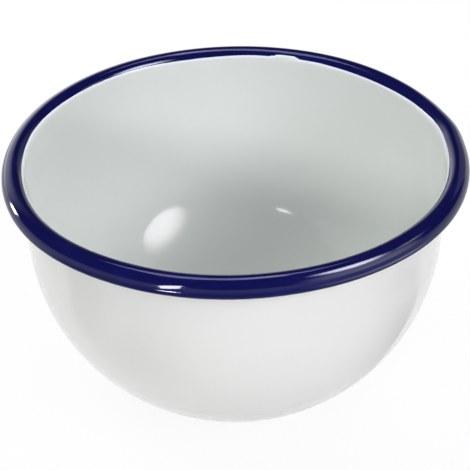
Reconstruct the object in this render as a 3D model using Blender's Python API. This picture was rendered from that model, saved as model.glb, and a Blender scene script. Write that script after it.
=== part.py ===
"""Enamelled steel bowl with a rolled rim, built as the layers that it is made of.

One pressed sheet of steel has a flat floor, a rounded belly, a nearly upright wall and an
edge curled outwards into a hollow bead. Glass coats cover it: a ground coat on each face,
white cover coats inside and outside, and a blue cover coat round the bead.

Every layer follows the same path along the sheet and lies at its own distance from the
sheet's inner face. The origin is the middle of the standing face, and +Z is up.
"""

import math

import bmesh
import bpy

# Finished outer sizes of the bowl, in metres and degrees
RIM_DIAMETER = 0.140
BOWL_HEIGHT = 0.0776
BEAD_DIAMETER = 0.0068
WALL_STRAIGHT = 0.024
WALL_DRAFT_DEG = 4.2
BASE_DIAMETER = 0.056
BASE_CORNER_RADIUS = 0.0085

# The layers: thicknesses, and the clearance that keeps neighbours apart
STEEL_THICKNESS = 0.0006
GROUND_COAT_THICKNESS = 0.0001
WHITE_COAT_THICKNESS = 0.0002
BLUE_COAT_THICKNESS = 0.0002
COAT_CLEARANCE = 0.00005

# The bead: where white gives way to blue, how near the lip comes to the wall's enamel, and how
# far the outer coats run up behind the lip
BLUE_BORDER_DEG = 32.0
LIP_CLEARANCE = 0.0001
SEAM_TUCK = 0.0006

# Facets round the bowl and along each curved stretch of the sheet
ROUND_FACETS = 48
CORNER_FACETS = 2
BELLY_FACETS = 6
CURL_FACETS = 10
SMOOTH_ANGLE_DEG = 40.0

# Distances of the layers from the sheet's inner face, counted towards the inside of the bowl
INNER_GROUND = COAT_CLEARANCE
INNER_COVER = INNER_GROUND + GROUND_COAT_THICKNESS + COAT_CLEARANCE
BEAD_SKIN = INNER_COVER + BLUE_COAT_THICKNESS
OUTER_GROUND = -STEEL_THICKNESS - COAT_CLEARANCE
OUTER_COVER = OUTER_GROUND - GROUND_COAT_THICKNESS - COAT_CLEARANCE
WALL_SKIN = OUTER_COVER - WHITE_COAT_THICKNESS

# Stretches of the sheet's path, in the order in which they are walked
FLOOR, CORNER, BELLY, WALL, CURL = range(5)


def heading_vector(angle):
    """Unit vector along a heading, as radius and height."""
    return math.cos(angle), math.sin(angle)


def inward_vector(angle):
    """Unit vector to the left of a heading, which is the inside of the bowl."""
    return -math.sin(angle), math.cos(angle)


def shifted(point, vector, distance):
    """Point moved along a unit vector."""
    return point[0] + vector[0] * distance, point[1] + vector[1] * distance


def sheet_path():
    """Stretches of the sheet's inner face, from the floor's middle to the lip of the curl.

    Each stretch is its start, its heading there, its length and the angle that it turns to the left.
    """
    wall_heading = math.radians(90 - WALL_DRAFT_DEG)
    curl_radius = BEAD_DIAMETER / 2 - BEAD_SKIN
    bead_centre = (RIM_DIAMETER / 2 - BEAD_DIAMETER / 2, BOWL_HEIGHT - BEAD_DIAMETER / 2)
    wall_top = shifted(bead_centre, inward_vector(wall_heading), curl_radius)
    wall_foot = shifted(wall_top, heading_vector(wall_heading), -WALL_STRAIGHT)

    floor_edge = (BASE_DIAMETER / 2, -WALL_SKIN)
    corner_radius = BASE_CORNER_RADIUS + WALL_SKIN
    corner_centre = (floor_edge[0], floor_edge[1] + corner_radius)

    # The belly is the arc that leaves the wall's foot smoothly and runs smoothly into the corner
    inward = inward_vector(wall_heading)
    across = (wall_foot[0] - corner_centre[0], wall_foot[1] - corner_centre[1])
    reach = across[0] * inward[0] + across[1] * inward[1]
    belly_radius = (corner_radius ** 2 - across[0] ** 2 - across[1] ** 2) / (2 * (reach + corner_radius))
    belly_centre = shifted(wall_foot, inward, belly_radius)
    corner_turn = math.atan2(corner_centre[0] - belly_centre[0], belly_centre[1] - corner_centre[1])
    belly_start = shifted(belly_centre, inward_vector(corner_turn), -belly_radius)
    belly_turn = wall_heading - corner_turn

    # The curl stops where its enamelled lip comes near the enamel of the wall
    lip_reach = (curl_radius + WALL_SKIN - LIP_CLEARANCE) / (curl_radius + BEAD_SKIN)
    curl_turn = 2 * math.pi - math.acos(lip_reach)

    return [
        ((0.0, floor_edge[1]), 0.0, floor_edge[0], 0.0),
        (floor_edge, 0.0, corner_radius * corner_turn, corner_turn),
        (belly_start, corner_turn, belly_radius * belly_turn, belly_turn),
        (wall_foot, wall_heading, WALL_STRAIGHT, 0.0),
        (wall_top, wall_heading, curl_radius * curl_turn, -curl_turn),
    ]


def sheet_point(path, station, offset):
    """Point at a station of the path, moved by an offset towards the inside of the bowl.

    A station is a stretch's number plus how much of that stretch has been walked, from 0 to 1.
    """
    number = min(int(station), len(path) - 1)
    start, heading, length, turn = path[number]
    walked = station - number
    if turn == 0.0:
        on_sheet = shifted(start, heading_vector(heading), length * walked)
        return shifted(on_sheet, inward_vector(heading), offset)
    radius = length / turn
    centre = shifted(start, inward_vector(heading), radius)
    return shifted(centre, inward_vector(heading + turn * walked), offset - radius)


def shared_stations():
    """Stations at which every layer has an edge, so that the facets of neighbours stay parallel."""
    facets = {FLOOR: 1, CORNER: CORNER_FACETS, BELLY: BELLY_FACETS, WALL: 1, CURL: CURL_FACETS}
    stations = [number + step / count for number, count in facets.items() for step in range(count)]
    return stations + [CURL + 1.0]


def layer_outline(path, first, last, near, far):
    """Cross section of a layer between two stations and between two offsets, near under far."""
    inner = [station for station in shared_stations() if first < station < last]
    stations = [first, *inner, last]
    upper = [sheet_point(path, station, far) for station in stations]
    lower = [sheet_point(path, station, near) for station in stations]
    return upper + lower[::-1]


def make_enamel(name, colour, roughness):
    """Glossy fired glass of one colour."""
    return make_material(name, colour, roughness, metallic=0.0)


def make_material(name, colour, roughness, metallic):
    """Principled material with a plain colour."""
    material = bpy.data.materials.new(name)
    material.use_nodes = True
    shader = material.node_tree.nodes["Principled BSDF"]
    shader.inputs["Base Color"].default_value = (*colour, 1.0)
    shader.inputs["Roughness"].default_value = roughness
    shader.inputs["Metallic"].default_value = metallic
    return material


def turn_layer(name, outline, material, parent):
    """Solid made by turning a cross section about the bowl's axis."""
    shape = bmesh.new()
    verts = [shape.verts.new((radius, 0.0, height)) for radius, height in outline]
    starts_on_axis = outline[0][0] == 0.0
    pairs = zip(verts, verts[1:]) if starts_on_axis else zip(verts, verts[1:] + verts[:1])
    edges = [shape.edges.new(pair) for pair in pairs]
    bmesh.ops.spin(shape, geom=verts + edges, cent=(0, 0, 0), axis=(0, 0, 1),
                   angle=2 * math.pi, steps=ROUND_FACETS, use_merge=True)
    bmesh.ops.remove_doubles(shape, verts=shape.verts, dist=COAT_CLEARANCE / 100)
    bmesh.ops.recalc_face_normals(shape, faces=shape.faces)
    mesh = bpy.data.meshes.new(name)
    shape.to_mesh(mesh)
    shape.free()
    mesh.shade_smooth()
    mesh.set_sharp_from_angle(angle=math.radians(SMOOTH_ANGLE_DEG))
    mesh.materials.append(material)
    layer = bpy.data.objects.new(name, mesh)
    layer.parent = parent
    bpy.context.scene.collection.objects.link(layer)


def build_bowl():
    """Make the sheet and its coats."""
    path = sheet_path()
    lip = CURL + 1.0
    curl_length, curl_turn = path[CURL][2:]
    border = CURL + math.radians(BLUE_BORDER_DEG) / abs(curl_turn)
    half_joint = COAT_CLEARANCE / 2 / curl_length
    bead_radius = BEAD_DIAMETER / 2
    lip_drop = bead_radius * abs(math.sin(curl_turn))
    seam = WALL + 1.0 - (lip_drop - SEAM_TUCK) / WALL_STRAIGHT

    steel = make_material("bare steel", (0.42, 0.42, 0.43), roughness=0.45, metallic=1.0)
    ground = make_enamel("dark ground enamel", (0.03, 0.035, 0.05), roughness=0.35)
    white = make_enamel("white enamel", (0.80, 0.81, 0.79), roughness=0.10)
    blue = make_enamel("blue enamel", (0.012, 0.03, 0.16), roughness=0.08)

    bowl = bpy.data.objects.new("bowl", None)
    bpy.context.scene.collection.objects.link(bowl)
    layers = [
        ("steel_shell", 0.0, lip, 0.0, -STEEL_THICKNESS, steel),
        ("inner_ground_coat", 0.0, lip, INNER_GROUND, GROUND_COAT_THICKNESS, ground),
        ("outer_ground_coat", 0.0, seam, OUTER_GROUND, -GROUND_COAT_THICKNESS, ground),
        ("inner_white_coat", 0.0, border - half_joint, INNER_COVER, WHITE_COAT_THICKNESS, white),
        ("outer_white_coat", 0.0, seam, OUTER_COVER, -WHITE_COAT_THICKNESS, white),
        ("blue_rim_coat", border + half_joint, lip, INNER_COVER, BLUE_COAT_THICKNESS, blue),
    ]
    for name, first, last, offset, thickness, material in layers:
        near, far = sorted((offset, offset + thickness))
        turn_layer(name, layer_outline(path, first, last, near, far), material, bowl)


for old in list(bpy.data.objects):
    bpy.data.objects.remove(old)
build_bowl()
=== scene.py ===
"""Looks of an enamelled steel bowl with a blue rolled rim, laid out as an add-on.

The bowl is a pressed sheet of steel under glass coats. Every layer is turned from the sheet's own
line by one node tree, which gives the bowl its slightly bent rim and the enamel the waver, drips and
ripple of glass that was dipped and fired.
"""

import math
from itertools import accumulate
from typing import NamedTuple

import bpy
from bpy.props import FloatProperty, FloatVectorProperty, IntProperty, PointerProperty
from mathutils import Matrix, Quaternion, Vector


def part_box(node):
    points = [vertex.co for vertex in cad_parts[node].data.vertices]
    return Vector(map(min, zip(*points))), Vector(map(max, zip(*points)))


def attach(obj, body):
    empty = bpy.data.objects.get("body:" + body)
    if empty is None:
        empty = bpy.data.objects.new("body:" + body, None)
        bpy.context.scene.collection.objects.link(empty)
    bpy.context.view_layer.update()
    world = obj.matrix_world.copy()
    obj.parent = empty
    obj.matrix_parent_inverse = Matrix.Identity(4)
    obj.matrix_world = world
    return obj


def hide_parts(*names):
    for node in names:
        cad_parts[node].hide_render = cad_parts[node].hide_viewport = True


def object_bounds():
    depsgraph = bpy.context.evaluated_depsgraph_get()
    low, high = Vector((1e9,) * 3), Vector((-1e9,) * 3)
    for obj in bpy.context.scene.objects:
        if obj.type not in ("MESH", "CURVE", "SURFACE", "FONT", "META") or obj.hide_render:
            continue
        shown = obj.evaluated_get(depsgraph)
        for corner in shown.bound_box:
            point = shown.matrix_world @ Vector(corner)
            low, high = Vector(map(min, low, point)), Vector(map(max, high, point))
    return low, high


bl_info = {
    "name": "Enamelled Bowl",
    "version": (1, 0, 0),
    "blender": (4, 5, 0),
    "location": "View3D > Sidebar > Bowl",
    "description": "Turns the enamel coats of a steel bowl and sets them on a pale stage",
    "category": "Object",
}

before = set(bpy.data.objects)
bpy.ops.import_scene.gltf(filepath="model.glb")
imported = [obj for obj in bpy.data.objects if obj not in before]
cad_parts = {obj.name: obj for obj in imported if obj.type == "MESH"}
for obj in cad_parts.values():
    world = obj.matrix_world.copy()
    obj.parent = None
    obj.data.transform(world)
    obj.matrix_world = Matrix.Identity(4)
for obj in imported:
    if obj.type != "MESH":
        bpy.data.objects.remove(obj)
CAD_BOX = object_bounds()

MILLIMETRE = 0.001

# Sizes that the frame gives, to a tenth of a millimetre, because flat facets cut its curves short
FRAME_SIZE = CAD_BOX[1] - CAD_BOX[0]
RIM_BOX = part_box("blue_rim_coat")
FRAME_RIM_DIAMETER = round(FRAME_SIZE.x, 4)
FRAME_HEIGHT = round(FRAME_SIZE.z, 4)
FRAME_BEAD_DIAMETER = round(RIM_BOX[1].z - RIM_BOX[0].z, 4)

# Name under which a layer's mesh keeps the distance from its end
END_DISTANCE = "end_distance"


def length_property(name, description, default):
    """Property for a size of the bowl, in metres."""
    return FloatProperty(name=name, description=description, default=default, min=0.0, precision=5,
                         subtype="DISTANCE", unit="LENGTH")


def angle_property(name, description, degrees):
    """Property for an angle, written here in degrees."""
    return FloatProperty(name=name, description=description, default=math.radians(degrees),
                         subtype="ANGLE", unit="ROTATION")


def colour_property(name, description, default):
    """Property for a colour, in linear light."""
    return FloatVectorProperty(name=name, description=description, default=default, size=3,
                               min=0.0, max=1.0, subtype="COLOR")


def strength_property(name, description, default):
    """Property for the brightness of a light, where 1 looks white."""
    return FloatProperty(name=name, description=description, default=default, min=0.0)


class BowlSizes(bpy.types.PropertyGroup):
    """Sizes of the bowl and of its coats."""

    rim_diameter: length_property(
        "Rim Diameter", "Across the outside of the rolled rim", FRAME_RIM_DIAMETER)
    bowl_height: length_property(
        "Height", "From the standing face to the top of the rim", FRAME_HEIGHT)
    bead_diameter: length_property(
        "Bead Diameter", "Thickness of the rolled rim with its enamel", FRAME_BEAD_DIAMETER)
    wall_straight: length_property(
        "Straight Wall", "Length of the straight wall under the rim", 24 * MILLIMETRE)
    wall_draft: angle_property(
        "Wall Draft", "Lean of the straight wall away from upright", 4.2)
    base_diameter: length_property(
        "Base Diameter", "Across the flat standing face", 56 * MILLIMETRE)
    base_corner: length_property(
        "Base Corner", "Radius of the corner round the standing face", 8.5 * MILLIMETRE)
    steel_thickness: length_property(
        "Steel Thickness", "Thickness of the pressed sheet", 0.6 * MILLIMETRE)
    ground_thickness: length_property(
        "Ground Thickness", "Thickness of a dark ground coat", 0.1 * MILLIMETRE)
    cover_thickness: length_property(
        "Cover Thickness", "Thickness of a white or blue cover coat", 0.2 * MILLIMETRE)
    coat_gap: length_property(
        "Coat Gap", "Gap that keeps a layer apart from the next", 0.05 * MILLIMETRE)
    blue_border: angle_property(
        "Blue Border", "Turn of the bead at which white gives way to blue", 32.0)
    lip_clearance: length_property(
        "Lip Clearance", "Gap between the bead's lip and the wall's enamel", 0.1 * MILLIMETRE)
    seam_tuck: length_property(
        "Seam Tuck", "How far the outer coat runs up behind the lip", 0.6 * MILLIMETRE)
    rim_bulge: length_property(
        "Rim Bulge", "How far the rim is bent outwards at the front right", 0.9 * MILLIMETRE)
    rim_bulge_place: angle_property(
        "Rim Bulge Place", "Where the rim is bent outwards, turned from the right", -34.0)
    rim_swell: length_property(
        "Rim Swell", "How far the rim is bent outwards at the front left", 0.38 * MILLIMETRE)
    rim_swell_place: angle_property(
        "Rim Swell Place", "Where the rim swells, turned from the right", 214.0)
    rim_knee: length_property(
        "Rim Knee", "How far a short stretch of the rim stands out on the right", 0.36 * MILLIMETRE)
    rim_knee_place: angle_property(
        "Rim Knee Place", "Where the short stretch stands out, turned from the right", 12.0)
    rim_flat: length_property(
        "Rim Flat", "How far the rim is bent inwards on the left", 0.9 * MILLIMETRE)
    rim_flat_place: angle_property(
        "Rim Flat Place", "Where the rim is bent inwards, turned from the right", 169.0)
    rim_dent: length_property(
        "Rim Dent", "How far the rim is pressed inwards at the back right", 0.4 * MILLIMETRE)
    rim_dent_place: angle_property(
        "Rim Dent Place", "Where the rim is pressed inwards, turned from the right", 35.0)
    wall_bulge: length_property(
        "Wall Bulge", "How far the wall is pressed outwards at one place", 0.8 * MILLIMETRE)
    wall_bulge_place: angle_property(
        "Wall Bulge Place", "Where the wall is pressed outwards, turned from the right", 118.0)
    wall_bulge_height: length_property(
        "Wall Bulge Height", "Height of the place where the wall is pressed outwards", 34 * MILLIMETRE)


class EnamelSettings(bpy.types.PropertyGroup):
    """Unevenness and colours of the enamel."""

    white_ripple: length_property(
        "White Ripple", "Height of the slow ripple in the white enamel", 0.03 * MILLIMETRE)
    blue_ripple: length_property(
        "Blue Ripple", "Height of the ripple along the blue rim", 0.05 * MILLIMETRE)
    drip_height: length_property(
        "Drip Height", "Height of the beads of enamel under the rim", 0.22 * MILLIMETRE)
    border_waver: length_property(
        "Border Waver", "How far the line between white and blue strays", 0.3 * MILLIMETRE)
    right_rise: length_property(
        "Right Rise", "How far the white climbs the bead on the right", 0.2 * MILLIMETRE)
    right_rise_place: angle_property(
        "Right Rise Place", "Where the white climbs the bead on the right, turned from the right", 6.0)
    left_rise: length_property(
        "Left Rise", "How far the white climbs the bead on the left", 0.5 * MILLIMETRE)
    left_rise_place: angle_property(
        "Left Rise Place", "Where the white climbs the bead on the left, turned from the right", 162.0)
    right_dip: length_property(
        "Right Dip", "How far the blue runs down into the bowl at the back right", 0.36 * MILLIMETRE)
    right_dip_place: angle_property(
        "Right Dip Place", "Where the blue runs down at the back right, turned from the right", 48.0)
    back_dip: length_property(
        "Back Dip", "How far the blue runs down into the bowl at the back", 0.35 * MILLIMETRE)
    back_dip_place: angle_property(
        "Back Dip Place", "Where the blue runs down at the back, turned from the right", 102.0)
    notch_depth: length_property(
        "Notch Depth", "How far the white breaks into the blue at the back", 0.7 * MILLIMETRE)
    notch_width: length_property(
        "Notch Width", "Length of the broken stretch of the blue's edge", 10 * MILLIMETRE)
    notch_place: angle_property(
        "Notch Place", "Where the broken stretch is, turned from the right", 74.0)
    seed: IntProperty(
        name="Seed", description="Picks another pattern of ripple, drips and waver", default=7)
    white_inside: colour_property(
        "White Inside", "White enamel inside the bowl", (0.700, 0.727, 0.716))
    white_outside: colour_property(
        "White Outside", "White enamel outside the bowl", (0.716, 0.726, 0.717))
    # The edge colour is partly the blue bled into the white and partly a painted sheen, lighter than the
    # wall
    white_edge: colour_property(
        "White Edge", "White enamel at its edges, tinted by the blue", (0.830, 0.860, 0.980))
    blue: colour_property(
        "Blue", "Blue enamel where it lies thick", (0.0042, 0.0051, 0.070))
    thin_blue: colour_property(
        "Thin Blue", "Blue enamel where it lies thin", (0.0105, 0.0105, 0.112))


class StageSettings(bpy.types.PropertyGroup):
    """Floor, lights and camera."""

    floor_colour: colour_property(
        "Floor", "Pale floor under the bowl", (0.83, 0.83, 0.83))
    room_light: strength_property(
        "Room", "Dim light of the room all round", 0.04)
    window_light: strength_property(
        "Window", "Large soft light in front, to the right", 7.75)
    strip_light: strength_property(
        "Strip", "Narrow light in front, to the left", 34.0)
    left_fill: strength_property(
        "Left Fill", "Soft light from behind on the left", 5.4)
    right_fill: strength_property(
        "Right Fill", "Soft light from behind on the right", 4.1)
    back_fill: strength_property(
        "Back Fill", "Soft light from behind", 2.5)
    top_fill: strength_property(
        "Top Fill", "Weak soft light from above", 1.12)
    window_shine: strength_property(
        "Window Shine", "Brightness of the window as the white inside mirrors it", 8.8)
    strip_shine: strength_property(
        "Strip Shine", "Brightness of the strip as the white inside mirrors it", 20.0)
    rim_shine: strength_property(
        "Rim Shine", "Brightness of the lights that only the blue rim mirrors", 50.0)
    focal_length: FloatProperty(
        name="Focal Length", description="Lens of the camera on a 36 mm sensor", default=153.19,
        min=1.0, subtype="DISTANCE_CAMERA", unit="CAMERA")


# Node trees

# How far apart the nodes of a tree lie in the editor, and how many stand in a row
NODE_WIDTH, NODE_HEIGHT = 180, 260
NODES_IN_ROW = 12


def add_node(tree, kind, inputs=None, **settings):
    """New node with its settings made, and its inputs set to values or linked to other sockets."""
    node = tree.nodes.new(kind)
    row, column = divmod(len(tree.nodes), NODES_IN_ROW)
    node.location = (NODE_WIDTH * column, -NODE_HEIGHT * row)
    for name, value in settings.items():
        setattr(node, name, value)
    for key, value in (inputs or {}).items():
        if isinstance(value, bpy.types.NodeSocket):
            tree.links.new(value, node.inputs[key])
        else:
            node.inputs[key].default_value = value
    return node


def calc(tree, operation, *values, clamp=False):
    """Result of one step of arithmetic on sockets or numbers."""
    inputs = dict(enumerate(values))
    return add_node(tree, "ShaderNodeMath", inputs, operation=operation, use_clamp=clamp).outputs[0]


def calc_vector(tree, operation, inputs, output="Vector"):
    """Result of one step of vector arithmetic, with its inputs given by number or name."""
    return add_node(tree, "ShaderNodeVectorMath", inputs, operation=operation).outputs[output]


def split(tree, vector):
    """X, Y and Z of a vector."""
    return add_node(tree, "ShaderNodeSeparateXYZ", {0: vector}).outputs


def choose(tree, test, if_not, if_so):
    """One of two numbers, picked by a test."""
    inputs = {"Switch": test, "False": if_not, "True": if_so}
    return add_node(tree, "GeometryNodeSwitch", inputs, input_type="FLOAT").outputs[0]


def ramp(tree, value, start, end, low=0.0, high=1.0):
    """Value carried smoothly from low at start to high at end."""
    inputs = {"Value": value, "From Min": start, "From Max": end, "To Min": low, "To Max": high}
    return add_node(tree, "ShaderNodeMapRange", inputs, interpolation_type="SMOOTHSTEP").outputs[0]


def noise_share(tree, vector, scale, seed, detail=2.0):
    """Seeded noise from about 0 to 1."""
    inputs = {"Vector": vector, "W": seed, "Scale": scale, "Detail": detail}
    return add_node(tree, "ShaderNodeTexNoise", inputs, noise_dimensions="4D").outputs[0]


def noise(tree, vector, scale, seed, detail=2.0):
    """Seeded noise about 0, from about -0.5 to 0.5."""
    return calc(tree, "SUBTRACT", noise_share(tree, vector, scale, seed, detail), 0.5)


def direction_round(tree, angle):
    """Unit vector at an angle round the bowl's axis."""
    inputs = {"X": calc(tree, "COSINE", angle), "Y": calc(tree, "SINE", angle)}
    return add_node(tree, "ShaderNodeCombineXYZ", inputs).outputs[0]


def turned_round(tree, vector, angle):
    """Vector turned by an angle about the bowl's axis."""
    inputs = {"Vector": vector, "Angle": angle}
    return add_node(tree, "ShaderNodeVectorRotate", inputs, rotation_type="Z_AXIS").outputs[0]


# The sheet's line, which every coat follows

# Length of one step along the line, and the numbers of two of its stretches
LINE_STEP = 0.25 * MILLIMETRE
WALL, CURL = 3, 4


class Stretch(NamedTuple):
    """Straight or evenly bent stretch of the line, with the angle that it turns to the left."""

    start: Vector
    heading: float
    length: float
    turn: float


def heading_vector(angle):
    """Unit vector along a heading, as radius and height."""
    return Vector((math.cos(angle), math.sin(angle)))


def inward_vector(angle):
    """Unit vector to the left of a heading, which is the inside of the bowl."""
    return Vector((-math.sin(angle), math.cos(angle)))


def layer_depths(sizes):
    """Back and skin of each layer, as distances inwards from the sheet's inner face."""
    inner_ground = sizes.coat_gap
    inner_cover = inner_ground + sizes.ground_thickness + sizes.coat_gap
    outer_ground = -sizes.steel_thickness - sizes.coat_gap
    outer_cover = outer_ground - sizes.ground_thickness - sizes.coat_gap
    return {
        "steel": (0.0, -sizes.steel_thickness),
        "inner_ground": (inner_ground, inner_ground + sizes.ground_thickness),
        "outer_ground": (outer_ground, outer_ground - sizes.ground_thickness),
        "inner_cover": (inner_cover, inner_cover + sizes.cover_thickness),
        "outer_cover": (outer_cover, outer_cover - sizes.cover_thickness),
    }


def wall_skin(sizes):
    """Distance from the sheet's inner face out to the skin of the outer enamel."""
    _, skin = layer_depths(sizes)["outer_cover"]
    return -skin


def curl_radius(sizes):
    """Radius of the curl in the sheet's inner face."""
    _, skin = layer_depths(sizes)["inner_cover"]
    return sizes.bead_diameter / 2 - skin


def sheet_stretches(sizes):
    """Floor, corner, belly, wall and curl of the sheet's inner face, from its middle to its lip."""
    wall_heading = math.radians(90) - sizes.wall_draft
    bead_radius = sizes.bead_diameter / 2
    bead_centre = Vector((sizes.rim_diameter / 2 - bead_radius, sizes.bowl_height - bead_radius))
    inward = inward_vector(wall_heading)
    wall_top = bead_centre + inward * curl_radius(sizes)
    wall_foot = wall_top - heading_vector(wall_heading) * sizes.wall_straight

    floor_edge = Vector((sizes.base_diameter / 2, wall_skin(sizes)))
    corner_radius = sizes.base_corner - wall_skin(sizes)
    corner_centre = floor_edge + Vector((0.0, corner_radius))

    # The belly is the arc that leaves the wall's foot smoothly and runs smoothly into the corner
    across = wall_foot - corner_centre
    reach = across.dot(inward)
    belly_radius = (corner_radius ** 2 - across.length_squared) / (2 * (reach + corner_radius))
    belly_centre = wall_foot + inward * belly_radius
    from_belly = corner_centre - belly_centre
    corner_turn = math.atan2(from_belly.x, -from_belly.y)
    belly_start = belly_centre - inward_vector(corner_turn) * belly_radius
    belly_turn = wall_heading - corner_turn

    # The curl stops where its enamelled lip comes near the enamel of the wall
    lip_reach = curl_radius(sizes) - wall_skin(sizes) - sizes.lip_clearance
    curl_turn = 2 * math.pi - math.acos(lip_reach / bead_radius)

    return [
        Stretch(Vector((0.0, wall_skin(sizes))), 0.0, sizes.base_diameter / 2, 0.0),
        Stretch(floor_edge, 0.0, corner_radius * corner_turn, corner_turn),
        Stretch(belly_start, corner_turn, belly_radius * belly_turn, belly_turn),
        Stretch(wall_foot, wall_heading, sizes.wall_straight, 0.0),
        Stretch(wall_top, wall_heading, curl_radius(sizes) * curl_turn, -curl_turn),
    ]


def stretch_point(stretch, share):
    """Point of a stretch after a share of its length, from 0 to 1."""
    start, heading, length, turn = stretch
    if turn == 0.0:
        return start + heading_vector(heading) * length * share
    radius = length / turn
    centre = start + inward_vector(heading) * radius
    return centre - inward_vector(heading + turn * share) * radius


def sheet_line(sizes):
    """Points along the sheet, close enough together for its curves to look round."""
    points = []
    stretches = sheet_stretches(sizes)
    for stretch in stretches:
        count = math.ceil(stretch.length / LINE_STEP)
        points += [stretch_point(stretch, step / count) for step in range(count)]
    return points + [stretch_point(stretches[-1], 1.0)]


def sheet_marks(sizes):
    """Lengths along the sheet to the places where coats begin, end or change."""
    stretches = sheet_stretches(sizes)
    ends = list(accumulate(stretch.length for stretch in stretches))
    lip_drop = sizes.bead_diameter / 2 * abs(math.sin(stretches[CURL].turn))
    return {
        "middle": 0.0,
        "seam": ends[WALL] - lip_drop + sizes.seam_tuck,
        "border": ends[WALL] + curl_radius(sizes) * sizes.blue_border,
        "outside": ends[WALL] + curl_radius(sizes) * math.pi,
        "lip": ends[CURL],
    }


# Layers, turned by one tree

# Inputs that are worked out for the layers, with what they mean
LENGTH_INPUTS = {
    "Start": "Length along the sheet at which the layer begins",
    "End": "Length along the sheet at which the layer ends",
    "Skin": "Distance from the sheet's inner face to the layer's skin",
    "Back": "Distance from the sheet's inner face to the layer's back",
    "Edge Round": "Length over which a free edge of the layer thins to nothing",
    "Rim Foot": "Height at which the bends of the rim begin",
    "Rim Top": "Height at which the bends of the rim are full",
    "Ripple": "Height of the ripple in the skin",
    "Ripple Size": "Length of one ripple",
    "Drip": "Height of the drips",
    "Drip Start": "Length along the sheet at which drips begin",
}
ANGLE_INPUTS = {
    "Notch Reach": "Turn from the notch's middle to its end",
}
SHARE_INPUTS = {
    "Start Border": "1 where the layer's start follows the border, and 0 where it doesn't",
    "End Border": "1 where the layer's end follows the border, and 0 where it doesn't",
}
COUNT_INPUTS = {
    "Round Steps": "Faces round the bowl",
    "Section Steps": "Faces round the layer's section",
    "Seed": "Picks another pattern of ripple, drips and waver",
}
INPUT_KINDS = [
    (LENGTH_INPUTS, "NodeSocketFloat", "DISTANCE"),
    (ANGLE_INPUTS, "NodeSocketFloat", "ANGLE"),
    (SHARE_INPUTS, "NodeSocketFloat", "FACTOR"),
    (COUNT_INPUTS, "NodeSocketInt", "NONE"),
]

# Bends of the rim and of the border between white and blue, with how far each reaches to either side
RIM_OUTWARD = {
    "Rim Bulge": math.radians(48.0), "Rim Swell": math.radians(30.0), "Rim Knee": math.radians(9.0)}
RIM_INWARD = {"Rim Flat": math.radians(56.0), "Rim Dent": math.radians(30.0)}
BORDER_RISES = {"Right Rise": math.radians(36.0), "Left Rise": math.radians(28.0)}
BORDER_DIPS = {"Right Dip": math.radians(24.0), "Back Dip": math.radians(20.0)}

# Settings of the bowl that the tree takes as inputs of the same name
BENDS = [*RIM_OUTWARD, *RIM_INWARD, *BORDER_RISES, *BORDER_DIPS, "Wall Bulge"]
SETTING_INPUTS = [
    *BENDS, *(bend + " Place" for bend in BENDS),
    "Wall Bulge Height", "Border Waver", "Notch Depth", "Notch Place"]

# How far to either side, and up and down, the bulge of the wall reaches
WALL_BULGE_REACH = math.radians(45.0)
WALL_BULGE_RISE = 26 * MILLIMETRE

# The border strays by a slow noise and by a share of a ragged one, and the notch is full within a share of
# its reach
WAVER_SCALE = 5.0
RAGGED_SCALE = 42.0
RAGGED_SHARE = 0.4
NOTCH_FULL = 0.45

# How much finer the drips are than the ripple
DRIP_FINENESS = 1.6

# Faces round the bowl and round a layer's section, and the distance within which corners become one. The two
# coats that meet at the border have the same number of faces round the bowl.
LAYER_STEPS = 240
RIM_STEPS = 480
INSIDE_SECTION_STEPS = 200
RIM_SECTION_STEPS = 180
MERGE_DISTANCE = 0.001 * MILLIMETRE

# Lengths of one ripple, of the rounded edges, and of the blue that runs under the white at the border
WHITE_RIPPLE_SIZE = 20 * MILLIMETRE
BLUE_RIPPLE_SIZE = 9 * MILLIMETRE
EDGE_ROUND = 0.15 * MILLIMETRE
RIM_EDGE_ROUND = 0.25 * MILLIMETRE
BORDER_OVERLAP = 0.2 * MILLIMETRE


def input_name(key):
    """Name of the tree's input that a setting or a keyword stands for."""
    return key.replace("_", " ").title()


def add_layer_inputs(tree):
    """Named inputs of the tree that turns a layer."""
    new_socket = tree.interface.new_socket
    new_socket("Geometry", in_out="INPUT", socket_type="NodeSocketGeometry")
    for inputs, kind, subtype in INPUT_KINDS:
        for name, description in inputs.items():
            socket = new_socket(name, in_out="INPUT", socket_type=kind, description=description)
            socket.subtype = subtype
    for group in (BowlSizes, EnamelSettings):
        for key, setting in group.bl_rna.properties.items():
            if input_name(key) in SETTING_INPUTS:
                socket = new_socket(input_name(key), in_out="INPUT", socket_type="NodeSocketFloat",
                                    description=setting.description)
                socket.subtype = setting.subtype
    new_socket("On Axis", in_out="INPUT", socket_type="NodeSocketBool",
               description="The layer begins on the bowl's axis, with no free edge there")
    new_socket("Material", in_out="INPUT", socket_type="NodeSocketMaterial",
               description="Finish of the layer")
    new_socket("Geometry", in_out="OUTPUT", socket_type="NodeSocketGeometry")


def turn_from(tree, around, place):
    """Turn between a direction round the bowl and a place, always positive."""
    closeness = calc_vector(tree, "DOT_PRODUCT", {0: around, 1: direction_round(tree, place)}, "Value")
    return calc(tree, "ARCCOSINE", calc(tree, "MINIMUM", closeness, 1.0))


def place_shift(tree, given, around, start, gains, losses):
    """Sum of a start and of the bends that add to it or take from it in a direction round the bowl."""
    shift = start
    for bends, side in ((gains, 1.0), (losses, -1.0)):
        for name, reach in bends.items():
            share = ramp(tree, turn_from(tree, around, given[name + " Place"]), reach, 0.0, 0.0, side)
            shift = calc(tree, "MULTIPLY_ADD", given[name], share, shift)
    return shift


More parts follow.
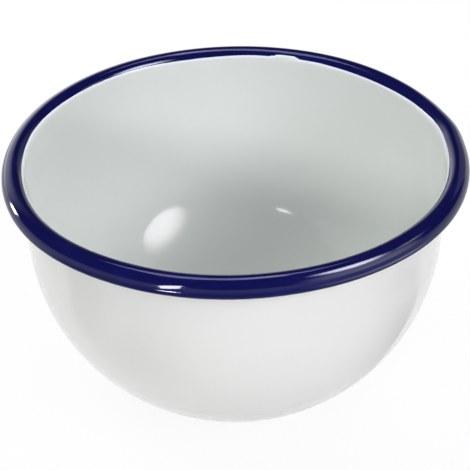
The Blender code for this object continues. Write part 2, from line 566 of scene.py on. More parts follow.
def border_shift(tree, given, around):
    """How far the border between white and blue strays along the sheet in a direction round the bowl."""
    slow = noise(tree, around, WAVER_SCALE, given["Seed"], detail=3.0)
    ragged = noise(tree, around, RAGGED_SCALE, given["Seed"])
    strayed = calc(tree, "MULTIPLY_ADD", ragged, RAGGED_SHARE, slow)
    waver = calc(tree, "MULTIPLY", given["Border Waver"], strayed)

    # The notch has steep sides, broken up by the ragged noise
    away = calc(tree, "DIVIDE", turn_from(tree, around, given["Notch Place"]), given["Notch Reach"])
    notch_share = ramp(tree, calc(tree, "ADD", away, ragged), 1.0, NOTCH_FULL)
    notched = calc(tree, "MULTIPLY_ADD", given["Notch Depth"], notch_share, waver)
    return place_shift(tree, given, around, notched, BORDER_RISES, BORDER_DIPS)


def bend_shift(tree, given, around, height):
    """How far the bent bowl stands outside its true circle, in a direction round it and at a height."""
    rim = place_shift(tree, given, around, 0.0, RIM_OUTWARD, RIM_INWARD)
    height_share = ramp(tree, height, given["Rim Foot"], given["Rim Top"])

    away = calc(tree, "ABSOLUTE", calc(tree, "SUBTRACT", height, given["Wall Bulge Height"]))
    wall_share = ramp(tree, turn_from(tree, around, given["Wall Bulge Place"]), WALL_BULGE_REACH, 0.0)
    wall = calc(tree, "MULTIPLY", given["Wall Bulge"], wall_share)
    bulge = calc(tree, "MULTIPLY", wall, ramp(tree, away, WALL_BULGE_RISE, 0.0))
    return calc(tree, "MULTIPLY_ADD", rim, height_share, bulge)


def edge_fullness(tree, distance, edge_round):
    """Share of the full thickness at a distance from a free edge, rounded like a drop's edge."""
    share = calc(tree, "DIVIDE", distance, edge_round, clamp=True)
    left = calc(tree, "SUBTRACT", 1.0, share)
    return calc(tree, "SQRT", calc(tree, "SUBTRACT", 1.0, calc(tree, "MULTIPLY", left, left)))


def section_grid(tree, given):
    """Unit grid that becomes a layer: across it runs the turn round the bowl, and along it the section.

    Gives its mesh, and as fields on it the angle round the bowl, the share of the layer's stretch that is
    walked, and the side: 1 on the skin and -1 on the back.
    """
    grid = add_node(tree, "GeometryNodeMeshGrid", {
        "Size X": 1.0, "Size Y": 1.0,
        "Vertices X": calc(tree, "ADD", given["Round Steps"], 1),
        "Vertices Y": calc(tree, "ADD", given["Section Steps"], 1)})
    across, along, _ = split(tree, add_node(tree, "GeometryNodeInputPosition").outputs[0])
    angle = calc(tree, "MULTIPLY", calc(tree, "ADD", across, 0.5), 2 * math.pi)
    from_end = calc(tree, "ABSOLUTE", calc(tree, "MULTIPLY", along, 2.0))
    side = calc(tree, "SIGN", calc(tree, "MULTIPLY", along, -1.0))

    # Rows crowd together towards the free edges, where the layer is rounded
    to_end_edge = calc(tree, "SUBTRACT", 1.0, calc(tree, "MULTIPLY", from_end, from_end))
    wave = calc(tree, "COSINE", calc(tree, "MULTIPLY", from_end, math.pi))
    to_both_edges = calc(tree, "MULTIPLY_ADD", wave, 0.5, 0.5)
    walked_share = choose(tree, given["On Axis"], to_both_edges, to_end_edge)
    return grid.outputs["Mesh"], angle, walked_share, side


def layer_fullness(tree, given, walked, to_end):
    """Share of a layer's full thickness, which falls to nothing at its free edges."""
    at_start = edge_fullness(tree, walked, given["Edge Round"])
    at_end = edge_fullness(tree, to_end, given["Edge Round"])
    return calc(tree, "MULTIPLY", choose(tree, given["On Axis"], at_start, 1.0), at_end)


def skin_relief(tree, given, place, length):
    """Height of the ripple over a layer's skin and of the drips towards its lip."""
    spread = calc(tree, "DIVIDE", 1.0, given["Ripple Size"])
    ripple = calc(tree, "MULTIPLY", noise(tree, place, spread, given["Seed"]), given["Ripple"])
    drip_spread = calc(tree, "MULTIPLY", spread, DRIP_FINENESS)
    drip_noise = noise(tree, place, drip_spread, given["Seed"], detail=3.0)
    drip_share = ramp(tree, length, given["Drip Start"], given["End"])
    drip = calc(tree, "MULTIPLY", calc(tree, "MULTIPLY", drip_noise, given["Drip"]), drip_share)
    return calc(tree, "ADD", ripple, drip)


def finish_layer(tree, given, grid, place, to_end):
    """Grid moved into place as a closed, smooth layer with its finish, which the tree gives out."""
    # The distance from the layer's end is kept on the mesh, for the finish to use
    marked = add_node(tree, "GeometryNodeStoreNamedAttribute", {
        0: grid, "Name": END_DISTANCE, "Value": to_end}, data_type="FLOAT", domain="POINT")
    shaped = add_node(tree, "GeometryNodeSetPosition", {0: marked.outputs[0], "Position": place})
    closed = add_node(tree, "GeometryNodeMergeByDistance", {
        0: shaped.outputs[0], "Distance": MERGE_DISTANCE})

    # Faces of an inner layer run the other way round, so they are flipped to point out of it
    inner = add_node(tree, "FunctionNodeCompare", {
        0: given["Skin"], 1: given["Back"]}, operation="GREATER_THAN")
    facing = add_node(tree, "GeometryNodeFlipFaces", {
        0: closed.outputs[0], "Selection": inner.outputs[0]})
    smooth = add_node(tree, "GeometryNodeSetShadeSmooth", {0: facing.outputs[0]})
    real = add_node(tree, "GeometryNodeRealizeInstances", {0: smooth.outputs[0]})
    painted = add_node(tree, "GeometryNodeSetMaterial", {
        0: real.outputs[0], "Material": given["Material"]})
    add_node(tree, "NodeGroupOutput", {0: painted.outputs[0]})


def layer_tree():
    """Tree that turns a layer about the bowl's axis from the line of the sheet."""
    tree = bpy.data.node_groups.get("Turned layer")
    if tree:
        return tree
    tree = bpy.data.node_groups.new("Turned layer", "GeometryNodeTree")
    add_layer_inputs(tree)
    given = add_node(tree, "NodeGroupInput").outputs
    grid, angle, walked_share, side = section_grid(tree, given)
    around = direction_round(tree, angle)

    # The stretch of the sheet that the layer covers in this direction
    shift = border_shift(tree, given, around)
    start = calc(tree, "MULTIPLY_ADD", shift, given["Start Border"], given["Start"])
    end = calc(tree, "MULTIPLY_ADD", shift, given["End Border"], given["End"])
    covered = calc(tree, "SUBTRACT", end, start)
    walked = calc(tree, "MULTIPLY", covered, walked_share)
    to_end = calc(tree, "SUBTRACT", covered, walked)
    length = calc(tree, "ADD", start, walked)

    # Place on the sheet at that length, and the way from there to the inside of the bowl
    line = add_node(tree, "GeometryNodeMeshToCurve", {0: given["Geometry"]})
    on_sheet = add_node(tree, "GeometryNodeSampleCurve", {
        "Curves": line.outputs[0], "Length": length}, mode="LENGTH").outputs
    ahead, _, upward = split(tree, on_sheet["Tangent"])
    inward = add_node(tree, "ShaderNodeCombineXYZ", {
        "X": calc(tree, "MULTIPLY", upward, -1.0), "Z": ahead}).outputs[0]

    # Distance of the layer's surface from the sheet's inner face, with the relief on the skin alone
    full = layer_fullness(tree, given, walked, to_end)
    middle = calc(tree, "MULTIPLY", calc(tree, "ADD", given["Skin"], given["Back"]), 0.5)
    half = calc(tree, "MULTIPLY", calc(tree, "SUBTRACT", given["Skin"], given["Back"]), 0.5)
    even = calc(tree, "MULTIPLY_ADD", calc(tree, "MULTIPLY", half, side), full, middle)
    relief = skin_relief(tree, given, turned_round(tree, on_sheet["Position"], angle), length)
    skin_only = calc(tree, "MULTIPLY", calc(tree, "MAXIMUM", side, 0.0), full)
    outwards = calc(tree, "MULTIPLY", skin_only, calc(tree, "SIGN", half))
    offset = calc(tree, "MULTIPLY_ADD", relief, outwards, even)

    # Places in the section, turned about the axis and moved with the bends of the bowl
    in_section = calc_vector(tree, "ADD", {
        0: on_sheet["Position"], 1: calc_vector(tree, "SCALE", {0: inward, "Scale": offset})})
    bent_by = bend_shift(tree, given, around, split(tree, in_section)["Z"])
    place = calc_vector(tree, "ADD", {
        0: turned_round(tree, in_section, angle),
        1: calc_vector(tree, "SCALE", {0: around, "Scale": bent_by})})
    finish_layer(tree, given, grid, place, to_end)
    return tree


def common_inputs(sizes, enamel):
    """Inputs that every layer shares, so that all bend alike and the edges at the border meet."""
    shared = {"Seed": enamel.seed}
    for settings in (sizes, enamel):
        for key in type(settings).__annotations__:
            if input_name(key) in SETTING_INPUTS:
                shared[input_name(key)] = getattr(settings, key)
    rim_radius = sizes.rim_diameter / 2 - sizes.bead_diameter
    return {
        **shared,
        "Rim Foot": sizes.bowl_height - sizes.wall_straight,
        "Rim Top": sizes.bowl_height - sizes.bead_diameter,
        "Notch Reach": enamel.notch_width / 2 / rim_radius,
        "Ripple Size": WHITE_RIPPLE_SIZE,
        "Drip Start": sheet_marks(sizes)["outside"],
        "Edge Round": EDGE_ROUND,
        "Round Steps": LAYER_STEPS,
        "Section Steps": LAYER_STEPS,
        "On Axis": True,
    }


def make_layer(name, node, slot, depths, material, **inputs):
    """Layer turned from the sheet's line as a plain mesh, which stands for a solid of the frame."""
    sizes, enamel = bpy.context.scene.bowl_sizes, bpy.context.scene.bowl_enamel
    back, skin = depths
    values = {**common_inputs(sizes, enamel), "Back": back, "Skin": skin, "Material": material}
    values.update({input_name(key): value for key, value in inputs.items()})

    guide = bpy.data.meshes.new(name + "_line")
    points = sheet_line(sizes)
    edges = [(number, number + 1) for number in range(len(points) - 1)]
    guide.from_pydata([(point.x, 0.0, point.y) for point in points], edges, [])
    layer = bpy.data.objects.new(name, guide)
    bpy.context.scene.collection.objects.link(layer)

    modifier = layer.modifiers.new("Turned layer", "NODES")
    modifier.node_group = layer_tree()
    for socket in modifier.node_group.interface.items_tree:
        if socket.in_out == "INPUT" and socket.name in values:
            modifier[socket.identifier] = values[socket.name]

    evaluated = layer.evaluated_get(bpy.context.evaluated_depsgraph_get())
    turned = bpy.data.meshes.new_from_object(evaluated)
    if not turned.polygons:
        raise RuntimeError(f"{name} came out empty")
    layer.modifiers.remove(modifier)
    layer.data = turned
    turned.name = name
    bpy.data.meshes.remove(guide)
    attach(layer, "root")
    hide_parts(node)
    return layer


# Finishes

# Sockets of the Mix node that hold colours
MIX_FACTOR, MIX_FIRST, MIX_SECOND, MIX_RESULT = 0, 6, 7, 2

# Refraction of glass, and the noise at which a wandering roughness is at its least or its greatest
GLASS_IOR = 1.5
GLOSS_NOISE = 0.3

# White enamel: least and greatest roughness, how much lighter or darker its clouds are, and the distances
# from its edge at which its blue tint and painted sheen begin and are full
INSIDE_ROUGHNESS = (0.05, 0.10)
OUTSIDE_ROUGHNESS = (0.01, 0.03)
CLOUD_CONTRAST = 0.015
EDGE_TINT_AND_SHEEN_BEGINS = 1.1 * MILLIMETRE
EDGE_TINT_AND_SHEEN_FULL = 0.3 * MILLIMETRE

# Specks in the white: cells in a metre, the share of cells without a speck, the radii in cells at which one
# begins and is full, its colour, and how much of that colour shows
SPECK_CELLS = 120.0
SPECKLESS_SHARE = 0.99
SPECK_BEGINS, SPECK_FULL = 0.035, 0.015
SPECK_COLOUR = (0.09, 0.085, 0.08)
SPECK_STRENGTH = 0.5

# Blue enamel: weights that draw its pattern out along the rim, the noise at which streaks and patches begin
# and are full, and its least and greatest roughness
RIM_DIRECTION_WEIGHT = (0.016, 0.016, 0.0)
RIM_PLACE_WEIGHT = (0.12, 0.12, 1.0)
STREAK_NOISE = (-0.16, 0.26)
PATCH_NOISE = (-0.1, 0.25)
BLUE_ROUGHNESS = (0.04, 0.11)

# Depths under the top of the bead, as shares of its thickness, at which the blue is dullest and shiniest,
# and how much it mirrors there
DULLEST_DEPTH, SHINIEST_DEPTH = 0.62, 0.34
DULLEST_SHINE, SHINIEST_SHINE = 0.03, 0.25

# Layers under the cover coats: dark and pale colour, roughness and, for steel, the weights of its streaks
GROUND_COLOURS = ((0.012, 0.014, 0.022), (0.050, 0.056, 0.075))
GROUND_ROUGHNESS = (0.25, 0.45)
STEEL_COLOURS = ((0.30, 0.30, 0.31), (0.52, 0.52, 0.53))
STEEL_ROUGHNESS = (0.38, 0.58)
STEEL_STREAK_WEIGHT = (1.0, 1.0, 0.08)


def new_material(name):
    """Material with its tree, its shader and the coordinates of the object."""
    material = bpy.data.materials.new(name)
    material.use_nodes = True
    tree = material.node_tree
    shader = tree.nodes["Principled BSDF"]
    spot = add_node(tree, "ShaderNodeTexCoord").outputs["Object"]
    return material, tree, shader, spot


def mix_colours(tree, share, first, second):
    """Colour between two others, each a colour or a socket."""
    inputs = {MIX_FACTOR: share}
    for socket, colour in ((MIX_FIRST, first), (MIX_SECOND, second)):
        inputs[socket] = colour if isinstance(colour, bpy.types.NodeSocket) else (*colour, 1.0)
    return add_node(tree, "ShaderNodeMix", inputs, data_type="RGBA").outputs[MIX_RESULT]


def scaled(colour, factor):
    """Colour made lighter or darker."""
    return tuple(channel * factor for channel in colour)


def set_gloss(tree, shader, spot, roughness, scale, seed, detail=2.0):
    """Let the roughness wander between its least and its greatest."""
    wander = noise(tree, spot, scale, seed, detail)
    tree.links.new(ramp(tree, wander, -GLOSS_NOISE, GLOSS_NOISE, *roughness), shader.inputs["Roughness"])


def set_peel(tree, shader, spot, scale, seed, strength, depth):
    """Give glass the fine unevenness of orange peel."""
    peel = noise(tree, spot, scale, seed, detail=1.0)
    bump = add_node(tree, "ShaderNodeBump", {"Height": peel, "Strength": strength, "Distance": depth})
    tree.links.new(bump.outputs[0], shader.inputs["Normal"])


def speck_share(tree, spot):
    """How much of the specks' colour shows."""
    cells = add_node(tree, "ShaderNodeTexVoronoi", {"Vector": spot, "Scale": SPECK_CELLS}).outputs
    near = ramp(tree, cells["Distance"], SPECK_BEGINS, SPECK_FULL)
    picked = calc(tree, "GREATER_THAN", split(tree, cells["Color"])["X"], SPECKLESS_SHARE)
    return calc(tree, "MULTIPLY", calc(tree, "MULTIPLY", near, picked), SPECK_STRENGTH)


def white_enamel(name, colour, edge_tint_and_sheen, roughness, seed):
    """Opaque white glass: faintly cloudy, blue with a painted sheen at its edge, orange peel, a rare dark
    speck.
    """
    material, tree, shader, spot = new_material(name)
    cloud = noise_share(tree, spot, scale=32.0, seed=seed, detail=3.0)
    darker, lighter = scaled(colour, 1.0 - CLOUD_CONTRAST), scaled(colour, 1.0 + CLOUD_CONTRAST)
    clouded = mix_colours(tree, cloud, darker, lighter)
    from_edge = add_node(tree, "ShaderNodeAttribute", attribute_name=END_DISTANCE).outputs["Fac"]
    # Towards its edge the white becomes the edge colour: a blue tint with a painted sheen over it
    tinted = mix_colours(tree, ramp(tree, from_edge, EDGE_TINT_AND_SHEEN_BEGINS, EDGE_TINT_AND_SHEEN_FULL), clouded, edge_tint_and_sheen)
    specked = mix_colours(tree, speck_share(tree, spot), tinted, SPECK_COLOUR)
    tree.links.new(specked, shader.inputs["Base Color"])

    set_gloss(tree, shader, spot, roughness, scale=60.0, seed=seed, detail=4.0)
    set_peel(tree, shader, spot, scale=650.0, seed=seed, strength=0.03, depth=0.4 * MILLIMETRE)
    shader.inputs["IOR"].default_value = GLASS_IOR
    return material


def blue_enamel(name, thick, thin, seed):
    """Deep blue glass whose depth of colour and gloss run in streaks along the rim."""
    material, tree, shader, spot = new_material(name)

    # Coordinates drawn out along the rim: the direction from the axis, and the place
    flat = calc_vector(tree, "MULTIPLY", {0: spot, 1: (1.0, 1.0, 0.0)})
    direction = calc_vector(tree, "NORMALIZE", {0: flat})
    along_rim = calc_vector(tree, "ADD", {
        0: calc_vector(tree, "MULTIPLY", {0: direction, 1: RIM_DIRECTION_WEIGHT}),
        1: calc_vector(tree, "MULTIPLY", {0: spot, 1: RIM_PLACE_WEIGHT})})

    streaks = ramp(tree, noise(tree, along_rim, scale=420.0, seed=seed, detail=3.0), *STREAK_NOISE)
    patches = ramp(tree, noise(tree, spot, scale=55.0, seed=seed), *PATCH_NOISE)
    thinness = calc(tree, "MULTIPLY", streaks, patches)
    tree.links.new(mix_colours(tree, thinness, thick, thin), shader.inputs["Base Color"])

    set_gloss(tree, shader, along_rim, BLUE_ROUGHNESS, scale=700.0, seed=seed)
    set_peel(tree, shader, along_rim, scale=800.0, seed=seed, strength=0.05, depth=0.3 * MILLIMETRE)
    shader.inputs["IOR"].default_value = GLASS_IOR

    # Beneath the bead the glass is duller. The plain value is for a reader of the material without nodes.
    dullest = FRAME_HEIGHT - DULLEST_DEPTH * FRAME_BEAD_DIAMETER
    shiniest = FRAME_HEIGHT - SHINIEST_DEPTH * FRAME_BEAD_DIAMETER
    shine = ramp(tree, split(tree, spot)["Z"], dullest, shiniest, DULLEST_SHINE, SHINIEST_SHINE)
    shader.inputs["Specular IOR Level"].default_value = SHINIEST_SHINE
    tree.links.new(shine, shader.inputs["Specular IOR Level"])
    return material


def ground_enamel(name, seed):
    """Dark ground coat that grips the steel: mottled blue-black glass."""
    material, tree, shader, spot = new_material(name)
    mottle = noise_share(tree, spot, scale=260.0, seed=seed, detail=4.0)
    tree.links.new(mix_colours(tree, mottle, *GROUND_COLOURS), shader.inputs["Base Color"])
    set_gloss(tree, shader, spot, GROUND_ROUGHNESS, scale=180.0, seed=seed)
    shader.inputs["IOR"].default_value = GLASS_IOR
    return material


def sheet_steel(name, seed):
    """Pickled steel sheet under the enamel: dull, with the streaks of drawing."""
    material, tree, shader, spot = new_material(name)
    drawn = calc_vector(tree, "MULTIPLY", {0: spot, 1: STEEL_STREAK_WEIGHT})
    streaks = noise_share(tree, drawn, scale=480.0, seed=seed, detail=4.0)
    tree.links.new(mix_colours(tree, streaks, *STEEL_COLOURS), shader.inputs["Base Color"])
    set_gloss(tree, shader, drawn, STEEL_ROUGHNESS, scale=300.0, seed=seed)
    shader.inputs["Metallic"].default_value = 1.0
    return material


# Stage

# Height at which the lights aim, and how far off they stand. Those that reach lower than the rim stand near
# it, because the floor would hide them farther off.
AIM_HEIGHT = 0.074
FAR = 3.0
NEAR = 1.0
STRIP_DISTANCE = 0.2
TABLE_DISTANCE = 0.144
LOW_HAZE_DISTANCE = 0.12

# Tints of the lights
WINDOW_TINT = (0.99, 0.985, 1.0)
STRIP_TINT = (1.0, 0.985, 0.98)
LEFT_TINT = (0.99, 1.0, 0.96)
RIGHT_TINT = (1.0, 0.98, 1.0)
MIRRORED_WINDOW_TINT = (1.0, 0.94, 0.99)
PALE_BLUE = (0.88, 0.90, 1.0)
PALE_VIOLET = (0.88, 0.86, 1.0)
VIOLET = (0.63, 0.60, 1.0)
WHITE = (1.0, 1.0, 1.0)

# The strip light as the rim mirrors it is a band that climbs across its panel. Its climb, half its height
# and its fade at the edges are shares of the panel's height.
BAND_CLIMB = 0.47
BAND_HALF_HEIGHT = 0.265
BAND_FADE = 0.03

# Half the width of the floor, and how much of it shows as white, where the rest keeps the shadow
FLOOR_REACH = 8.0
FLOOR_WHITE_SHARE = 0.92

# Dim patches of the floor that only the gloss mirrors. Each has a middle, a reach, and the two ends of a
# straight edge that cuts it off towards the back.
LEFT_EDGE = (Vector((-0.130, -0.011, 0.0)), Vector((-0.060, -0.034, 0.0)))
RIGHT_EDGE = (Vector((0.062, -0.010, 0.0)), Vector((0.112, 0.011, 0.0)))
EDGE_BLUR = 0.0025
PATCH_DEPTH = 0.7
PATCHES = [
    (Vector((-0.110, -0.042, 0.0)), 0.055, LEFT_EDGE),
    (Vector((-0.062, -0.076, 0.0)), 0.055, LEFT_EDGE),
    (Vector((0.085, -0.018, 0.0)), 0.060, RIGHT_EDGE),
]

# Heights above the horizon up to which the room is white, and from which it is dim
HORIZON_WHITE = math.radians(2.0)
HORIZON_DIM = math.radians(12.0)

# Camera: where it stands, where it looks, how it is tilted, the width of its sensor in millimetres, and how
# near it sees
CAMERA_PLACE = Vector((0.0, -0.514101, 0.381972))
CAMERA_AIM = Vector((-0.0001007, 0.0, 0.047823))
CAMERA_TILT = math.radians(-1.4573)
SENSOR_WIDTH = 36.0
CLIP_START = 0.01


def direction_from_bowl(azimuth, elevation):
    """Unit vector at degrees round from the front, to the right, and degrees up."""
    turn, rise = math.radians(azimuth), math.radians(elevation)
    return Vector((math.sin(turn) * math.cos(rise), -math.cos(turn) * math.cos(rise), math.sin(rise)))


def shaped_light(panel):
    """Tree of a light that its nodes shape, and the place on it in shares of its width and height."""
    panel.data.use_nodes = True
    tree = panel.data.node_tree
    return tree, add_node(tree, "ShaderNodeNewGeometry").outputs["Parametric"]


def soften(panel, middle=(0.5, 0.5), full=0.15, dark=0.5):
    """Let a light fade away from a place on it, from where it is full to where it is dark."""
    tree, place = shaped_light(panel)
    from_middle = calc_vector(tree, "DISTANCE", {0: place, 1: (*middle, 0.0)}, "Value")
    tree.links.new(ramp(tree, from_middle, dark, full), tree.nodes["Emission"].inputs["Strength"])


def keep_band(panel):
    """Let a light shine only in a band that climbs across it."""
    tree, place = shaped_light(panel)
    across, up, _ = split(tree, place)
    middle = calc(tree, "MULTIPLY_ADD", calc(tree, "SUBTRACT", across, 0.5), BAND_CLIMB, 0.5)
    away = calc(tree, "ABSOLUTE", calc(tree, "SUBTRACT", up, middle))
    lit = ramp(tree, away, BAND_HALF_HEIGHT, BAND_HALF_HEIGHT - BAND_FADE)
    tree.links.new(lit, tree.nodes["Emission"].inputs["Strength"])


def add_panel(name, place, spread, radiance, colour=WHITE, roll=0.0, shape="RECTANGLE"):
    """Light that faces the rim from a place, given by azimuth, elevation and distance.

    Its spread is how wide and how high it looks from the rim, in degrees. The camera doesn't see it.
    """
    azimuth, elevation, distance = place
    toward = direction_from_bowl(azimuth, elevation)
    lamp = bpy.data.lights.new(name, "AREA")
    lamp.shape = shape
    lamp.size, lamp.size_y = (2 * distance * math.tan(math.radians(angle) / 2) for angle in spread)
    lamp.color = colour
    filled = math.pi / 4 if shape == "ELLIPSE" else 1.0
    lamp.energy = radiance * math.pi * filled * lamp.size * lamp.size_y
    panel = bpy.data.objects.new(name, lamp)
    panel.location = Vector((0.0, 0.0, AIM_HEIGHT)) + toward * distance
    panel.rotation_mode = "QUATERNION"
    turn = Quaternion((0.0, 0.0, 1.0), math.radians(roll))
    panel.rotation_quaternion = (-toward).to_track_quat("-Z", "Y") @ turn
    panel.visible_camera = False
    bpy.context.scene.collection.objects.link(panel)
    return panel


def link_lights(panels, piece, state):
    """Let lights shine on one piece only, or on all but that piece."""
    receivers = bpy.data.collections.new(f"{state.lower()} {piece.name}")
    receivers.objects.link(piece)
    receivers.collection_objects[0].light_linking.link_state = state
    for panel in panels:
        panel.light_linking.receiver_collection = receivers


def show_only_in_gloss(panels, piece):
    """Let lights show only as reflections in one piece."""
    for panel in panels:
        panel.visible_diffuse = False
    link_lights(panels, piece, "INCLUDE")


def add_fills(stage, rim):
    """Soft lights that set the tones. No gloss mirrors them, and two of them spare the blue rim."""
    window = add_panel("window_light", (51.5, 28.7, FAR), (34.0, 18.0), stage.window_light, WINDOW_TINT)
    strip = add_panel("strip_light", (-28.0, 18.0, FAR), (12.0, 10.0), stage.strip_light, STRIP_TINT)
    left = add_panel("left_fill", (-120.0, 50.0, FAR), (30.0, 30.0), stage.left_fill, LEFT_TINT)
    right = add_panel("right_fill", (145.0, 36.0, FAR), (34.0, 28.0), stage.right_fill, RIGHT_TINT)
    back = add_panel("back_fill", (180.0, 36.0, FAR), (44.0, 28.0), stage.back_fill)
    top = add_panel("top_fill", (25.0, 58.0, FAR), (40.0, 40.0), stage.top_fill)
    for panel in (window, strip, left, right, back, top):
        panel.visible_glossy = False
    link_lights([right, back], rim, "EXCLUDE")


def add_inside_shine(stage, inside):
    """Window and strip as the white inside mirrors them."""
    window = add_panel("window_shine", (52.3, 34.6, FAR), (38.2, 21.2), stage.window_shine,
                       MIRRORED_WINDOW_TINT, roll=9.8, shape="ELLIPSE")
    soften(window, middle=(0.48, 0.28), full=0.2, dark=0.62)
    strip = add_panel("strip_glint", (-36.2, 26.2, FAR), (12.6, 1.2), stage.strip_shine)
    soften(strip, middle=(0.83, 0.5), full=0.06, dark=0.86)
    show_only_in_gloss([window, strip], inside)


def add_rim_shine(stage, rim):
    """Lights that the blue rim alone mirrors, as its bright lines, glints and sheens."""
    shine = stage.rim_shine
    soft = [
        add_panel("streak_shine", (62.0, 47.0, NEAR), (34.0, 34.0), 0.75 * shine, PALE_BLUE, roll=12.0),
        add_panel("streak_tail", (91.0, 36.0, NEAR), (24.0, 16.0), 0.1 * shine, PALE_BLUE),
        add_panel("haze_shine", (58.0, 16.0, NEAR), (70.0, 60.0), 0.08 * shine, PALE_BLUE),
        add_panel("low_haze_shine", (52.0, -28.0, LOW_HAZE_DISTANCE), (60.0, 26.0), 0.15 * shine,
                  PALE_BLUE),
        add_panel("card_shine", (-152.0, 10.0, NEAR), (60.0, 60.0), 0.042 * shine, PALE_VIOLET),
    ]
    for panel in soft:
        soften(panel)
    crisp = [
        add_panel("table_shine", (-25.0, -25.0, TABLE_DISTANCE), (7.5, 5.0), 2.9 * shine, PALE_VIOLET,
                  roll=37.0),
        add_panel("glint_shine", (-121.0, 7.0, NEAR), (7.0, 11.0), shine),
        add_panel("top_shine", (-166.0, 69.0, NEAR), (24.0, 22.0), 0.16 * shine, VIOLET),
        add_panel("top_right_shine", (165.8, 62.0, NEAR), (11.0, 13.0), 0.13 * shine, VIOLET),
        add_panel("side_shine", (148.0, 10.0, NEAR), (30.0, 44.0), 0.009 * shine, PALE_VIOLET),
    ]
    strip = add_panel("strip_shine", (-24.6, 1.45, STRIP_DISTANCE), (7.45, 35.8), shine, PALE_VIOLET)
    keep_band(strip)
    show_only_in_gloss([*soft, *crisp, strip], rim)


def background_share(tree):
    """1 for the rays that see the background itself: from the camera, or by way of gloss or glass."""
    path = add_node(tree, "ShaderNodeLightPath").outputs
    seen = calc(tree, "MAXIMUM", path["Is Camera Ray"], path["Is Glossy Ray"])
    return calc(tree, "MAXIMUM", seen, path["Is Transmission Ray"])


def patch_shade(tree, spot, patch):
    """Darkness of a soft patch on the floor, cut off at its edge."""
    middle, reach, (start, end) = patch
    along = end - start
    forward = Vector((along.y, -along.x, 0.0)).normalized()
    from_start = calc_vector(tree, "SUBTRACT", {0: spot, 1: start})
    ahead = calc_vector(tree, "DOT_PRODUCT", {0: from_start, 1: forward}, "Value")
    cut = ramp(tree, ahead, -EDGE_BLUR, EDGE_BLUR, 0.0, PATCH_DEPTH)
    away = calc_vector(tree, "DISTANCE", {0: spot, 1: middle}, "Value")
    return calc(tree, "MULTIPLY", cut, ramp(tree, away, reach, 0.0))


def floor_strength(tree):
    """White, but for dim patches that only the gloss mirrors."""
    spot = add_node(tree, "ShaderNodeTexCoord").outputs["Object"]
    shade = 0.0
    for patch in PATCHES:
        shade = calc(tree, "MAXIMUM", shade, patch_shade(tree, spot, patch))
    mirrored = add_node(tree, "ShaderNodeLightPath").outputs["Is Glossy Ray"]
    return calc(tree, "SUBTRACT", 1.0, calc(tree, "MULTIPLY", shade, mirrored))


def add_floor(stage):
    """Wide pale floor, white to the eye but for a faint shadow under the bowl."""
    mesh = bpy.data.meshes.new("floor")
    sides = ((-1, -1), (1, -1), (1, 1), (-1, 1))
    mesh.from_pydata([(x * FLOOR_REACH, y * FLOOR_REACH, 0.0) for x, y in sides], [], [(0, 1, 2, 3)])
    floor = bpy.data.objects.new("floor", mesh)
    bpy.context.scene.collection.objects.link(floor)

    material = bpy.data.materials.new("pale floor")
    material.use_nodes = True
    tree = material.node_tree
    tree.nodes.clear()
    lit = add_node(tree, "ShaderNodeBsdfDiffuse", {"Color": (*stage.floor_colour, 1.0)})
    white = add_node(tree, "ShaderNodeEmission", {"Strength": floor_strength(tree)})
    share = calc(tree, "MULTIPLY", background_share(tree), FLOOR_WHITE_SHARE)
    mixed = add_node(tree, "ShaderNodeMixShader", {0: share, 1: lit.outputs[0], 2: white.outputs[0]})
    add_node(tree, "ShaderNodeOutputMaterial", {"Surface": mixed.outputs[0]})
    mesh.materials.append(material)


def add_room(stage):
    """Dim grey room, white along the horizon where the floor meets it."""
    world = bpy.data.worlds.new("room")
    world.use_nodes = True
    tree = world.node_tree
    tree.nodes.clear()
    upward = split(tree, add_node(tree, "ShaderNodeTexCoord").outputs["Generated"])["Z"]
    horizon = ramp(tree, upward, math.sin(HORIZON_DIM), math.sin(HORIZON_WHITE))
    share = calc(tree, "MULTIPLY", background_share(tree), horizon)
    room, white = (
        add_node(tree, "ShaderNodeBackground", {"Color": (*WHITE, 1.0), "Strength": strength})
        for strength in (stage.room_light, 1.0))
    mixed = add_node(tree, "ShaderNodeMixShader", {0: share, 1: room.outputs[0], 2: white.outputs[0]})
    add_node(tree, "ShaderNodeOutputWorld", {"Surface": mixed.outputs[0]})
    bpy.context.scene.world = world


def add_camera(stage):
    """Camera in front, looking down into the bowl, tilted a little as the picture is."""
    camera = bpy.data.cameras.new("camera")
    camera.lens = stage.focal_length
    camera.sensor_width = SENSOR_WIDTH
    camera.clip_start = CLIP_START
    viewer = bpy.data.objects.new("camera", camera)
    viewer.location = CAMERA_PLACE
    tilt = Quaternion((0.0, 0.0, 1.0), CAMERA_TILT)
    viewer.rotation_mode = "QUATERNION"
    viewer.rotation_quaternion = (CAMERA_AIM - CAMERA_PLACE).to_track_quat("-Z", "Y") @ tilt
    bpy.context.scene.collection.objects.link(viewer)
    bpy.context.scene.camera = viewer


# Operators

class BOWL_OT_steel_sheet(bpy.types.Operator):
    """Turn the pressed steel sheet, with its edge curled into the bead"""

    bl_idname = "bowl.steel_sheet"
    bl_label = "Steel Sheet"

    def execute(self, context):
        sizes, seed = context.scene.bowl_sizes, context.scene.bowl_enamel.seed
        marks = sheet_marks(sizes)
        make_layer("steel_sheet", "steel_shell", "sheet_steel", layer_depths(sizes)["steel"],
                   sheet_steel("sheet steel", seed), start=marks["middle"], end=marks["lip"])
        return {"FINISHED"}


class BOWL_OT_ground_coats(bpy.types.Operator):
    """Turn the dark ground coats on both faces of the sheet"""

    bl_idname = "bowl.ground_coats"
    bl_label = "Ground Coats"

    def execute(self, context):
        sizes, seed = context.scene.bowl_sizes, context.scene.bowl_enamel.seed
        marks, depths = sheet_marks(sizes), layer_depths(sizes)
        material = ground_enamel("ground enamel", seed)
        make_layer("ground_enamel_inside", "inner_ground_coat", "ground_enamel", depths["inner_ground"],
                   material, start=marks["middle"], end=marks["lip"])
        make_layer("ground_enamel_outside", "outer_ground_coat", "ground_enamel", depths["outer_ground"],
                   material, start=marks["middle"], end=marks["seam"])
        return {"FINISHED"}


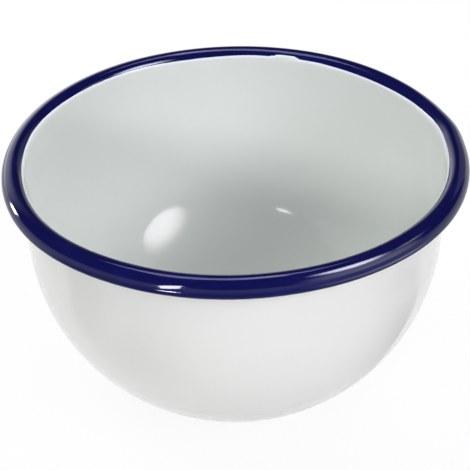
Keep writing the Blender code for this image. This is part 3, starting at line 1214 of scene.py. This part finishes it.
class BOWL_OT_white_coats(bpy.types.Operator):
    """Turn the white enamel: inside up to the blue border, and outside up to the seam behind the lip"""

    bl_idname = "bowl.white_coats"
    bl_label = "White Coats"

    def execute(self, context):
        sizes, enamel = context.scene.bowl_sizes, context.scene.bowl_enamel
        marks, depths = sheet_marks(sizes), layer_depths(sizes)
        inside = white_enamel("white enamel inside", enamel.white_inside, enamel.white_edge,
                              INSIDE_ROUGHNESS, enamel.seed)
        outside = white_enamel("white enamel outside", enamel.white_outside, enamel.white_edge,
                               OUTSIDE_ROUGHNESS, enamel.seed)
        make_layer("white_enamel_inside", "inner_white_coat", "white_enamel", depths["inner_cover"],
                   inside, start=marks["middle"], end=marks["border"], end_border=1.0,
                   ripple=enamel.white_ripple, round_steps=RIM_STEPS, section_steps=INSIDE_SECTION_STEPS)
        make_layer("white_enamel_outside", "outer_white_coat", "white_enamel", depths["outer_cover"],
                   outside, start=marks["middle"], end=marks["seam"], ripple=enamel.white_ripple)
        return {"FINISHED"}


class BOWL_OT_blue_rim(bpy.types.Operator):
    """Turn the blue enamel round the rolled rim, from the border to the lip"""

    bl_idname = "bowl.blue_rim"
    bl_label = "Blue Rim"

    def execute(self, context):
        sizes, enamel = context.scene.bowl_sizes, context.scene.bowl_enamel
        marks, depths = sheet_marks(sizes), layer_depths(sizes)
        blue = blue_enamel("blue enamel", enamel.blue, enamel.thin_blue, enamel.seed)
        make_layer("blue_enamel_rim", "blue_rim_coat", "blue_enamel", depths["inner_cover"], blue,
                   start=marks["border"] - BORDER_OVERLAP, end=marks["lip"], start_border=1.0,
                   on_axis=False, edge_round=RIM_EDGE_ROUND, ripple=enamel.blue_ripple,
                   ripple_size=BLUE_RIPPLE_SIZE, drip=enamel.drip_height, round_steps=RIM_STEPS,
                   section_steps=RIM_SECTION_STEPS)
        return {"FINISHED"}


class BOWL_OT_stage(bpy.types.Operator):
    """Set the bowl on a pale floor with soft light and a camera"""

    bl_idname = "bowl.stage"
    bl_label = "Stage"

    def execute(self, context):
        stage = context.scene.bowl_stage
        add_floor(stage)
        add_room(stage)
        add_fills(stage, bpy.data.objects["blue_enamel_rim"])
        add_inside_shine(stage, bpy.data.objects["white_enamel_inside"])
        add_rim_shine(stage, bpy.data.objects["blue_enamel_rim"])
        add_camera(stage)
        context.scene.view_settings.view_transform = "Standard"
        return {"FINISHED"}


STEPS = (
    BOWL_OT_steel_sheet,
    BOWL_OT_ground_coats,
    BOWL_OT_white_coats,
    BOWL_OT_blue_rim,
    BOWL_OT_stage,
)
SETTINGS = {"bowl_sizes": BowlSizes, "bowl_enamel": EnamelSettings, "bowl_stage": StageSettings}


class BOWL_PT_panel(bpy.types.Panel):
    """Settings of the bowl, and the steps that make it"""

    bl_idname = "BOWL_PT_panel"
    bl_label = "Enamelled Bowl"
    bl_space_type = "VIEW_3D"
    bl_region_type = "UI"
    bl_category = "Bowl"

    def draw(self, context):
        for pointer, group in SETTINGS.items():
            box = self.layout.box()
            for name in group.__annotations__:
                box.prop(getattr(context.scene, pointer), name)
        for step in STEPS:
            self.layout.operator(step.bl_idname)


def register():
    """Register the settings, the steps and the panel."""
    for part in (*SETTINGS.values(), *STEPS, BOWL_PT_panel):
        bpy.utils.register_class(part)
    for pointer, group in SETTINGS.items():
        setattr(bpy.types.Scene, pointer, PointerProperty(type=group))


def unregister():
    """Take the settings, the steps and the panel away again."""
    for pointer in SETTINGS:
        delattr(bpy.types.Scene, pointer)
    for part in reversed((*SETTINGS.values(), *STEPS, BOWL_PT_panel)):
        bpy.utils.unregister_class(part)


def main():
    """Make every piece and the stage."""
    register()
    bpy.ops.bowl.steel_sheet()
    bpy.ops.bowl.ground_coats()
    bpy.ops.bowl.white_coats()
    bpy.ops.bowl.blue_rim()
    bpy.ops.bowl.stage()


if __name__ == "__main__":
    main()
